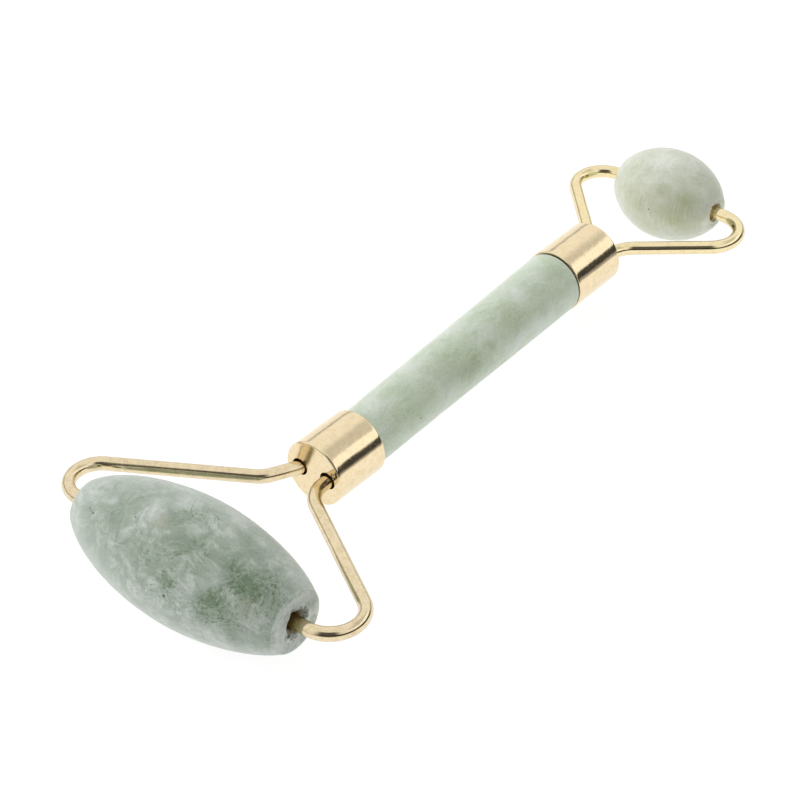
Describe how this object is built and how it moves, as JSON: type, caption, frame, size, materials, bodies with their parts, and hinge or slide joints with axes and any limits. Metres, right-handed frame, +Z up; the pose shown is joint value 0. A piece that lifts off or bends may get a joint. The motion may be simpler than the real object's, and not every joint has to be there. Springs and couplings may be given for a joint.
{
  "type": "jade face roller",
  "caption": "Hand-held double-ended facial massage roller: a jade rod with metal caps, a large and a small drilled jade roller turning on bent wire frames.",
  "frame": {"origin": "on the table the roller lies on, under the middle of its bounding box", "axes": "+Z up, +Y along the handle from the large roller to the small one, +X along the large roller's axle"},
  "size_m": [0.0594, 0.1458, 0.0204],
  "materials": {
    "handle_jade": "satin-polished pale green jade",
    "large_roller_jade": "satin-polished grey-green jade with darker green clouds",
    "small_roller_jade": "satin-polished whitish jade with faint green patches",
    "cap_metal": "polished champagne-gold plating",
    "wire_metal": "polished champagne-gold plating",
    "adhesive": "cured clear-amber epoxy"
  },
  "bodies": {
    "handle": {"handle_stone": "handle_jade", "large_cap": "cap_metal", "small_cap": "cap_metal", "large_frame_wire": "wire_metal", "small_frame_wire": "wire_metal", "large_cap_adhesive": "adhesive", "small_cap_adhesive": "adhesive"},
    "large_roller": {"large_roller_stone": "large_roller_jade"},
    "small_roller": {"small_roller_stone": "small_roller_jade"}
  },
  "joints": [
    {"name": "large_roller_spin", "type": "hinge", "parent": "handle", "child": "large_roller", "pos_m": [0.00031, -0.06266, 0.0102], "axis": [1, 0, 0], "continuous": true},
    {"name": "small_roller_spin", "type": "hinge", "parent": "handle", "child": "small_roller", "pos_m": [-0.00213, 0.0647, 0.00815], "axis": [0.9999, 0.0166, 0], "continuous": true}
  ]
}
